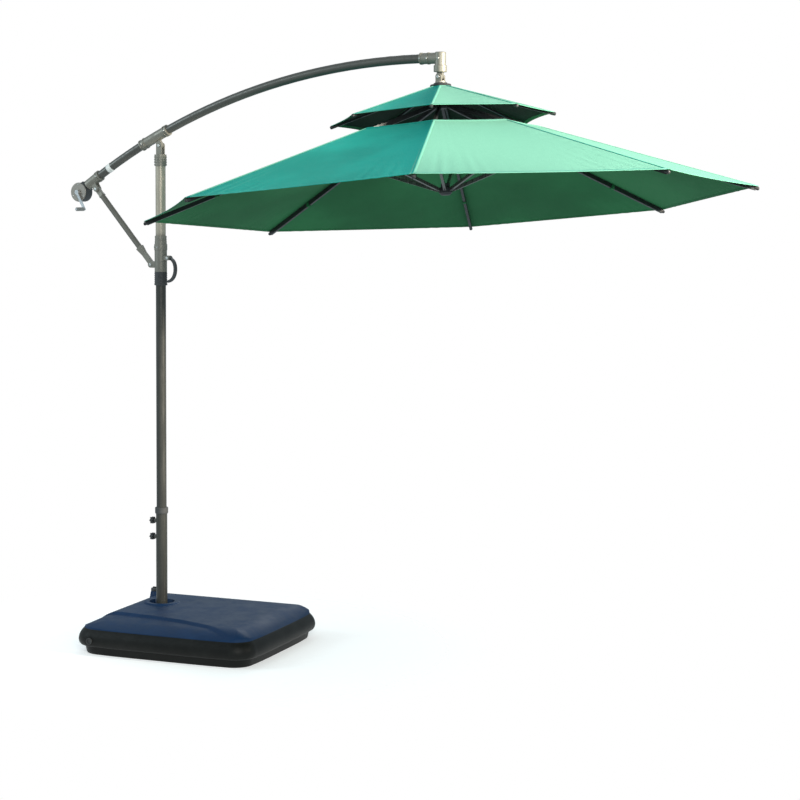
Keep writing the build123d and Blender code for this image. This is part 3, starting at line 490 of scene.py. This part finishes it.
# ---- the canopy's own frame -------------------------------------------------------------------------
up = -Vector(joints["canopy_close"]["axis"])
up.normalize()
hang = Vector(joints["canopy_hang"]["pos_m"])
rim_centre = hang - up * HANG_HEIGHT


def rib_direction(number):
    """The outward direction of a rib, numbered from 1, in the rim plane."""
    return Vector(joints[f"rib_{number}_fold"]["axis"]).cross(up).normalized()


def mesh_object(name, points, faces, material, uvs=None, normals=None):
    """A smooth mesh from plain lists. uvs and normals have one entry for each point."""
    mesh = bpy.data.meshes.new(name)
    mesh.from_pydata([tuple(p) for p in points], [], faces)
    mesh.materials.append(material)
    mesh.polygons.foreach_set("use_smooth", [True] * len(mesh.polygons))
    if uvs is not None:
        layer = mesh.uv_layers.new(name="flat")
        for loop in mesh.loops:
            layer.data[loop.index].uv = uvs[loop.vertex_index]
    if normals is not None:
        mesh.normals_split_custom_set_from_vertices([tuple(n) for n in normals])
    mesh.update()
    piece = bpy.data.objects.new(name, mesh)
    bpy.context.scene.collection.objects.link(piece)
    return piece


def skin(rows, count, closed=False):
    """Quads between rings of count points each, stored ring by ring; closed also joins the last to the first."""
    faces = []
    for row in range(rows if closed else rows - 1):
        here, beyond = row * count, (row + 1) % rows * count
        for k in range(count):
            after = (k + 1) % count
            faces.append((here + k, here + after, beyond + after, beyond + k))
    return faces


def tube(rows, count, inward=False):
    """The faces of a closed tube of rings, with its two ends. inward turns them all round."""
    ends = [tuple(range(count))[::-1], tuple(range((rows - 1) * count, rows * count))]
    faces = skin(rows, count) + ends
    return [face[::-1] for face in faces] if inward else faces


def grid_faces(columns, rows):
    """Quads of a grid stored column by column."""
    return [
        (c * rows + r, c * rows + r + 1, (c + 1) * rows + r + 1, (c + 1) * rows + r)
        for c in range(columns - 1) for r in range(rows - 1)
    ]


def tier_point(tier, outwards, sideways, across, share):
    """A point of the stretched cloth near one rib, its place on the flat pattern, and its panel's normal.

    across runs from -1 to 1, from one neighbouring panel's middle line to the other's, with 0 at the rib.
    share runs from 0 at the tier's hole to 1 at its rim.
    """
    radius, rise = tier["radius"], tier["apex"] - tier["rim"]
    side = 1 if across >= 0 else -1
    step = abs(across) / 2                        # along the panel's rim chord, 0 to half
    turn = 2 * pi / RIBS
    chord_out = radius * (1 + step * (cos(turn) - 1))
    chord_side = radius * step * sin(turn) * side
    slack = 1 - (1 - 2 * step) ** 2               # 0 at the rib, 1 at the panel's middle
    hole = tier["hole"] / radius
    edge = 1 - SCALLOP * slack / radius
    inner = hole + 0.25 * SCALLOP * slack * hole
    reach = inner + (edge - inner) * share
    span = radius * reach
    size = span / MAIN_TIER["radius"]
    dip = SAG * slack * size * (0.35 + 0.65 * sin(pi * min(1.0, share * 0.92 + 0.04)))
    pull = slack * (1 - slack) * 4
    fan = sin(23 * step * 2 * pi + 1.3 * side) * share ** 3
    fan += 0.6 * sin(17 * step * 2 * pi + 0.4) * (1 - share) ** 3
    dip += WRINKLE * pull * fan * size
    middle = outwards * cos(turn / 2) + sideways * (side * sin(turn / 2))
    normal = (up + middle * (rise / (radius * cos(turn / 2)))).normalized()
    height = tier["apex"] - rise * reach
    point = rim_centre + (outwards * chord_out + sideways * chord_side) * reach + up * height - normal * dip
    flat = (2 * step * side * span * sin(turn / 2), reach * (radius ** 2 + rise ** 2) ** 0.5)
    return point, flat, normal


def sector_normals(tier, outwards, sideways, acrosses, shares):
    """Smooth normals of one sector, worked out from the surface itself so that neighbours match."""
    small = 1e-3

    def place(across, share):
        """A point of this sector."""
        return tier_point(tier, outwards, sideways, across, share)[0]

    normals = []
    for across in acrosses:
        for share in shares:
            inside = min(max(share, small), 1 - small)
            near = across if abs(across) > small else small
            down = place(across, inside + small) - place(across, inside - small)
            if abs(across) > 1 - small:           # on a panel's middle line the cloth is level across it
                turn = pi / RIBS * (1 if across > 0 else -1)
                along = sideways * cos(turn) - outwards * sin(turn)
            else:
                along = place(near + small, inside) - place(near - small, inside)
            normal = down.cross(along)
            normals.append((normal if normal.dot(up) > 0 else -normal).normalized())
    return normals


HEM_RING = ((0, 0.0), (0.04, 1.0), (0.5, 1.15), (0.93, 1.0), (1.0, 0.0), (0.93, -1.0), (0.5, -1.0), (0.04, -1.0))
SEAM_RING = ((-1.0, 0.0), (-0.92, 0.9), (0.0, 1.25), (0.92, 0.9), (1.0, 0.0), (0.92, -0.5), (0.0, -0.5),
             (-0.92, -0.5))


def make_hem(name, path, ways, normals, width):
    """A flat closed band: path is its edge, ways point across it, normals out of the cloth."""
    points, uvs = [], []
    run = 0.0
    for index, (point, way, normal) in enumerate(zip(path, ways, normals)):
        if index:
            run += (point - path[index - 1]).length
        for share, side in HEM_RING:
            points.append(point + way * (width * share) + normal * (HEM_LIFT + side * HEM_THICKNESS / 2))
            uvs.append((width * share, run))
    inward = (path[1] - path[0]).cross(ways[0]).dot(normals[0]) > 0
    hem = mesh_object(name, points, tube(len(path), len(HEM_RING), inward), hem_cloth, uvs)
    hem.data.set_sharp_from_angle(angle=radians(55))
    return hem


def make_sector(tier_name, tier, material, number, columns, rows):
    """The cloth round one rib: half of each panel beside it, with its rim hem, its seam and its hole hem."""
    outwards = rib_direction(number)
    sideways = up.cross(outwards)
    acrosses = [2 * c / (columns - 1) - 1 for c in range(columns)]
    shares = [r / (rows - 1) for r in range(rows)]
    spots = [tier_point(tier, outwards, sideways, across, share) for across in acrosses for share in shares]
    normals = sector_normals(tier, outwards, sideways, acrosses, shares)
    body = f"rib_{number}" if tier_name == "main" else f"top_rib_{number}"
    piece = mesh_object(f"{tier_name}_cloth_{number}", [spot[0] for spot in spots], grid_faces(columns, rows),
                        material, [spot[1] for spot in spots], normals)
    extras = []
    for edge, share, beside in (("hem", 1.0, 0.9), ("inner_hem", 0.0, 0.1)):
        path, ways, lifts = [], [], []
        for across in acrosses:
            here, _, normal = tier_point(tier, outwards, sideways, across, share)
            way = (tier_point(tier, outwards, sideways, across, beside)[0] - here).normalized()
            path.append(here - way * HEM_OVERHANG)
            ways.append(way)
            lifts.append(normal)
        width = TOP_HOLE_HEM if tier_name == "top" and edge == "inner_hem" else HEM_WIDTH
        extras.append(make_hem(f"{tier_name}_{edge}_{number}", path, ways, lifts, width))
    for extra in [piece] + extras:
        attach(extra, body)
        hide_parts(f"{tier_name}_canopy")
        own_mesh(extra)
    seam = make_seam(tier_name, tier, number, outwards, sideways, rows)
    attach(seam, body)


def make_seam(tier_name, tier, number, outwards, sideways, rows):
    """The flat-felled seam that runs down over a rib."""
    points, uvs = [], []
    slant = (tier["apex"] - tier["rim"]) / tier["radius"]
    normal = (up + outwards * slant).normalized()
    drop = tan(pi / RIBS) * slant
    run = 0.0
    last = None
    for row in range(rows):
        here = tier_point(tier, outwards, sideways, 0.0, row / (rows - 1))[0]
        run = run + (here - last).length if last else 0.0
        last = here
        for share, side in SEAM_RING:
            out = SEAM_HALF * share
            points.append(here + sideways * out - up * (abs(out) * drop) + normal * (0.0004 + side * 0.0010))
            uvs.append((out, run))
    faces = tube(rows, len(SEAM_RING), inward=True)
    seam = mesh_object(f"{tier_name}_seam_{number}", points, faces, seam_cloth, uvs)
    seam.data.set_sharp_from_angle(angle=radians(70))
    return seam


def make_canopy():
    """Both tiers, sector by sector."""
    for number in range(1, RIBS + 1):
        make_sector("main", MAIN_TIER, cloth, number, *MAIN_GRID)
        make_sector("top", TOP_TIER, top_cloth, number, *TOP_GRID)


# ---- shapes turned about an axis --------------------------------------------------------------------
def rings(profile, at, axis, steps):
    """Rings of points round an axis, one for each (radius, height along the axis) of the profile."""
    to_axis = Vector((0, 0, 1)).rotation_difference(Vector(axis)).to_matrix()
    angles = [2 * pi * step / steps for step in range(steps)]
    return [Vector(at) + to_axis @ Vector((radius * cos(angle), radius * sin(angle), height))
            for radius, height in profile for angle in angles]


def turned(name, profile, at, axis, material, body, steps=40):
    """A closed shape of revolution: profile is (radius, height along the axis) from its start to its end."""
    piece = mesh_object(name, rings(profile, at, axis, steps), tube(len(profile), steps), material)
    piece.data.set_sharp_from_angle(angle=radians(40))
    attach(piece, body)


def band(name, middle, axis, inner, outer, length, material, body, steps=56):
    """A thin ring round a tube, with softened edges."""
    soft = min(0.0008, (outer - inner) * 0.6)
    half = length / 2
    loop = [(inner, -half), (outer - soft, -half), (outer, soft - half), (outer, half - soft), (outer - soft, half),
            (inner, half)]
    piece = mesh_object(name, rings(loop, middle, axis, steps), skin(len(loop), steps, closed=True), material)
    piece.data.set_sharp_from_angle(angle=radians(50))
    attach(piece, body)


def screw_head(name, at, out, radius, body):
    """A domed screw head with a recess, standing on a surface."""
    tall = radius * 0.55
    profile = [(radius, -0.001), (radius, tall * 0.35), (radius * 0.86, tall * 0.78), (radius * 0.55, tall),
               (radius * 0.42, tall), (radius * 0.34, tall * 0.45), (radius * 0.10, tall * 0.40)]
    turned(name, profile, at, out, steel, body, 28)


# ---- the arm's curve ----------------------------------------------------------------------------------
ARM_POINTS = ((-0.430, 2.166), (0.504, 2.602), (1.462, 2.736))      # (X, Z) of the ends and of one point between
ARM_RADIUS = 0.020
SLEEVE_RIM = 0.027             # radius of the castings' rims round the arm
BAND_AT = -0.294               # X of the pale band
SLEEVE_SCREWS = (              # and of the screws in the castings' rims
    ("pivot_left", -0.094), ("pivot_right", 0.036), ("clamp", -0.361), ("elbow_near", 1.403), ("elbow_far", 1.438),
)
WINCH_SCREWS = 3
WINCH_SCREW_CIRCLE = 0.036


def arm_circle():
    """Middle (X, Z) and radius of the arm's arc."""
    (ax, az), (bx, bz), (cx, cz) = ARM_POINTS
    d = 2 * (ax * (bz - cz) + bx * (cz - az) + cx * (az - bz))
    a, b, c = ax * ax + az * az, bx * bx + bz * bz, cx * cx + cz * cz
    x = (a * (bz - cz) + b * (cz - az) + c * (az - bz)) / d
    z = (a * (cx - bx) + b * (ax - cx) + c * (bx - ax)) / d
    return x, z, ((ax - x) ** 2 + (az - z) ** 2) ** 0.5


def on_arm(x):
    """A point of the arm's middle line, and the direction the arm runs there."""
    centre_x, centre_z, radius = arm_circle()
    z = centre_z + (radius ** 2 - (x - centre_x) ** 2) ** 0.5
    return Vector((x, 0, z)), Vector((z - centre_z, 0, centre_x - x)).normalized()


def make_hardware():
    """Small fittings that the CAD model leaves out: screws, the arm's pale band, rib caps and ties."""
    point, along = on_arm(BAND_AT)
    band("arm_band", point, along, ARM_RADIUS - 0.0002, ARM_RADIUS + 0.0010, 0.026, plastic_white, "arm")
    for label, x in SLEEVE_SCREWS:
        point, _ = on_arm(x)
        at = point + Vector((0, -SLEEVE_RIM + 0.0006, 0))
        screw_head(f"screw_{label}", at, (0, -1, 0), 0.0042, "arm")
    low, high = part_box("elbow")
    at = (high.x - 0.0245, low.y + 0.0022, (low.z + high.z) / 2)
    screw_head("screw_elbow_side", at, (0, -1, 0), 0.0050, "arm")
    low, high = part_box("winch_cover")
    middle = (low + high) / 2
    for number in range(WINCH_SCREWS):
        angle = radians(90 + 360 / WINCH_SCREWS * number)
        at = (middle.x + WINCH_SCREW_CIRCLE * cos(angle), low.y + 0.0052, middle.z + WINCH_SCREW_CIRCLE * sin(angle))
        screw_head(f"screw_winch_{number + 1}", at, (0, -1, 0), 0.0036, "arm")
    low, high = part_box("slider_collar")
    for label, degrees in (("front", -90), ("left", -150)):
        out = Vector((cos(radians(degrees)), sin(radians(degrees)), 0))
        at = out * (high.x - 0.0006) + Vector((0, 0, low.z + 0.014))
        screw_head(f"screw_slider_{label}", at, out, 0.0046, "slider")
    low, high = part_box("pole_bracket")
    out = Vector((cos(radians(-120)), sin(radians(-120)), 0))
    screw_head("screw_bracket", out * (POLE_RADIUS + 0.0042) + Vector((0, 0, low.z + 0.012)), out, 0.0042, "pole")
    for number in range(1, RIBS + 1):
        make_rib_ends(number)


def rib_line(tier, outwards, radius, below):
    """A point under the cloth's surface along a rib, and the direction the rib runs."""
    slant = (tier["apex"] - tier["rim"]) / tier["radius"]
    normal = (up + outwards * slant).normalized()
    point = rim_centre + outwards * radius + up * (tier["apex"] - slant * radius) - normal * below
    return point, (outwards - up * slant).normalized()


RIB_CAP = ((0.0001, 0.0), (0.0070, 0.0), (0.0078, 0.003), (0.0078, 0.018), (0.0060, 0.0225), (0.0001, 0.0242))
CAP_GRIP = 0.016               # how far a cap reaches back over its rib from the rim
TIES = (("outer", 1.02), ("inner", 0.62))           # and how far from the middle the ties are


def make_rib_ends(number):
    """The end caps of one rib of each tier, and the tie that holds the cloth to the long one."""
    outwards = rib_direction(number)
    at, along = rib_line(MAIN_TIER, outwards, MAIN_TIER["radius"] - CAP_GRIP, 0.0115)
    turned(f"rib_cap_{number}", RIB_CAP, at, along, plastic_black, f"rib_{number}", 24)
    at, along = rib_line(TOP_TIER, outwards, TOP_TIER["radius"] - CAP_GRIP, 0.0070)
    turned(f"top_rib_cap_{number}", RIB_CAP, at, along, plastic_black, f"top_rib_{number}", 24)
    sideways = up.cross(outwards)
    for label, radius in TIES:
        at, along = rib_line(MAIN_TIER, outwards, radius, 0.013)
        make_tie(f"rib_tie_{label}_{number}", at, along, sideways, f"rib_{number}")


def make_tie(name, at, along, sideways, body):
    """A loop of tape round a rib, sewn to the seam above it."""
    down = along.cross(sideways)
    if down.dot(up) > 0:
        down = -down
    wide, deep, soft = 0.0068, 0.0098, 0.0016
    ring = [(-wide, -deep + soft), (-wide + soft, -deep), (wide - soft, -deep), (wide, -deep + soft),
            (wide, deep - soft), (wide - soft, deep), (-wide + soft, deep), (-wide, deep - soft)]
    thick, half = 0.0012, 0.010
    points, faces, uvs = [], [], []
    run = 0.0
    for side, drop in ring:
        grow = Vector((side, drop, 0)).normalized()
        for out in (0, thick):
            for end in (-half, half):
                points.append(at + sideways * (side + grow.x * out) + down * (drop + grow.y * out) + along * end)
                uvs.append((end, run))
        run += 0.005
    count = len(ring)
    for index in range(count):
        a, b = index * 4, (index + 1) % count * 4
        for first, second in ((2, 3), (3, 1), (1, 0), (0, 2)):
            faces.append((a + first, a + second, b + second, b + first))
    piece = mesh_object(name, points, faces, tape, uvs)
    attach(piece, body)


# ---- ballast tank -------------------------------------------------------------------------------------
BASE_TURN = 8.0                # degrees from the arm's direction to the tank's long one
TANK_HALF = (0.460, 0.430)
TANK_OFFSET = (0.250, -0.100)  # the tank's middle from the pole, in the tank's own directions
TANK_CORNER = 0.100            # radius of its corners in plan
SIDE_BULGE = 0.007
PLATEAU = 0.1640               # height of the flat part of the top
SHOULDER = 0.112               # how far in from the crease the top levels out
WELL_RADIUS = 0.060            # the well that holds the pole's socket
WELL_FLOOR = 0.0198
RIM_OUTER = 0.084              # the raised rims round the well and the filling neck
RIM_HEIGHT = 0.1708
FILL_AT = (-0.145, 0.225)      # the filling neck from the pole, in the tank's own directions
FILL_NECK = 0.028
SIDE_POINTS = 64               # points of the plan along each side and round each corner
CORNER_POINTS = 22
CREASE_INSET = 0.026           # the crease from the tank's widest outline
SIDE_LEVELS = (                # inset and height of each level of the wall, from the crease down
    (0.0235, 0.1195), (0.0180, 0.1130), (0.0120, 0.1045), (0.0066, 0.0950), (0.0028, 0.0850), (0.0008, 0.0750),
    (0.0, 0.0660), (0.0012, 0.0570), (0.0040, 0.0490), (0.0090, 0.0425), (0.0160, 0.0395), (0.0250, 0.0385),
    (0.0265, 0.0365), (0.0280, 0.0250), (0.0310, 0.0080), (0.0340, 0.0015), (0.0390, 0.0),
)
SWOOSH = (                     # plan of the long step across the top
    (-0.24, -0.275), (-0.08, -0.285), (0.10, -0.300), (0.28, -0.335), (0.44, -0.395), (0.58, -0.480), (0.72, -0.60),
)


def smooth(value, low, high):
    """A smooth step from 0 at low to 1 at high."""
    share = np.clip((value - low) / (high - low), 0, 1)
    return share * share * (3 - 2 * share)


def tank_outline(inset):
    """The tank's plan as points from the pole, in the tank's own directions, with slightly bowed sides."""
    radius = TANK_CORNER - inset * 0.5
    half = np.array(TANK_HALF) - inset - SIDE_BULGE
    flat = half - radius
    points = []
    corners = ((1, 1, 0), (-1, 1, 90), (-1, -1, 180), (1, -1, 270))
    for index, (sx, sy, start) in enumerate(corners):
        for step in range(CORNER_POINTS):
            angle = radians(start + 90 * step / CORNER_POINTS)
            points.append((sx * flat[0] + radius * cos(angle), sy * flat[1] + radius * sin(angle)))
        next_x, next_y, _ = corners[(index + 1) % 4]
        angle = radians(start + 90)
        first = np.array((sx * flat[0] + radius * cos(angle), sy * flat[1] + radius * sin(angle)))
        last = np.array((next_x * flat[0] + radius * cos(angle), next_y * flat[1] + radius * sin(angle)))
        for step in range(SIDE_POINTS):
            share = step / SIDE_POINTS
            bow = SIDE_BULGE * (1 - (2 * share - 1) ** 4)
            points.append(tuple(first + (last - first) * share + bow * np.array((cos(angle), sin(angle)))))
    return np.array(points) + TANK_OFFSET


def tank_height(where):
    """The height of the tank's upper face at points given from the pole, in the tank's own directions."""
    inner = np.abs(where - TANK_OFFSET) - (np.array(TANK_HALF) - TANK_CORNER)
    past_corner = np.linalg.norm(np.maximum(inner, 0), axis=1) + np.minimum(inner.max(axis=1), 0)
    depth = TANK_CORNER - past_corner - CREASE_INSET      # in from the crease
    swoosh = np.interp(where[:, 0], [p[0] for p in SWOOSH], [p[1] for p in SWOOSH])
    ahead = swoosh - where[:, 1]
    low = 0.012 * smooth(ahead, -0.008, 0.010) + 0.012 * smooth(ahead, 0.02, 0.20)
    ease = 1 - (1 - np.clip(depth / SHOULDER, 0, 1)) ** 2.3
    height = CREASE_HEIGHT + (PLATEAU - low - CREASE_HEIGHT) * ease
    from_pole = np.linalg.norm(where, axis=1)
    height += (RIM_HEIGHT - height) * (1 - smooth(from_pole, RIM_OUTER - 0.004, RIM_OUTER + 0.005))
    from_neck = np.linalg.norm(where - FILL_AT, axis=1)
    return height + (RIM_HEIGHT - height) * (1 - smooth(from_neck, FILL_NECK, FILL_NECK + 0.010))


def make_tank():
    """The blow-moulded tank: a domed top with a long step, a rolled edge, bowed walls and an inset foot."""
    edge = tank_outline(CREASE_INSET)
    count = len(edge)
    angles = np.arctan2(edge[:, 1], edge[:, 0])
    well = WELL_RADIUS * np.stack((np.cos(angles), np.sin(angles)), 1)
    levels = []
    for radius, height in ((0.0005, WELL_FLOOR), (WELL_RADIUS, WELL_FLOOR), (WELL_RADIUS, RIM_HEIGHT - 0.0015),
                           (WELL_RADIUS + 0.0006, RIM_HEIGHT - 0.0004)):
        levels.append(np.column_stack((well * (radius / WELL_RADIUS), np.full(count, height))))
    shares = list(np.linspace(0.004, 0.09, 18)) + list(np.linspace(0.10, 1.0, 74))
    for share in shares:
        plan = well + (edge - well) * share
        levels.append(np.column_stack((plan, tank_height(plan))))
    for inset, height in SIDE_LEVELS:
        levels.append(np.column_stack((tank_outline(inset), np.full(count, height))))
    stack = np.concatenate(levels)
    turn = radians(BASE_TURN)
    placed = stack.copy()
    placed[:, 0] = stack[:, 0] * cos(turn) - stack[:, 1] * sin(turn)
    placed[:, 1] = stack[:, 0] * sin(turn) + stack[:, 1] * cos(turn)
    faces = tube(len(levels), count, inward=True)
    tank = mesh_object("tank", placed.tolist(), faces, sky_tinted_tank)
    tank.data.set_sharp_from_angle(angle=radians(48))
    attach(tank, "root")
    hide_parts("base_tank", "water_ballast")
    front = Vector((sin(turn), -cos(turn), 0))
    along = Vector((cos(turn), sin(turn), 0))
    at = along * (-0.105) + front * (0.530 - 0.0030) + Vector((0, 0, 0.070))
    plug = [(0.0150, -0.004), (0.0150, 0.0015), (0.0135, 0.0028), (0.0110, 0.0028), (0.0100, -0.0020),
            (0.0001, -0.0020)]
    turned("drain_plug", plug, at, front, plastic_black, "root", 36)


make_camera()
make_stage()
dress_nodes()
make_canopy()
make_hardware()
make_tank()
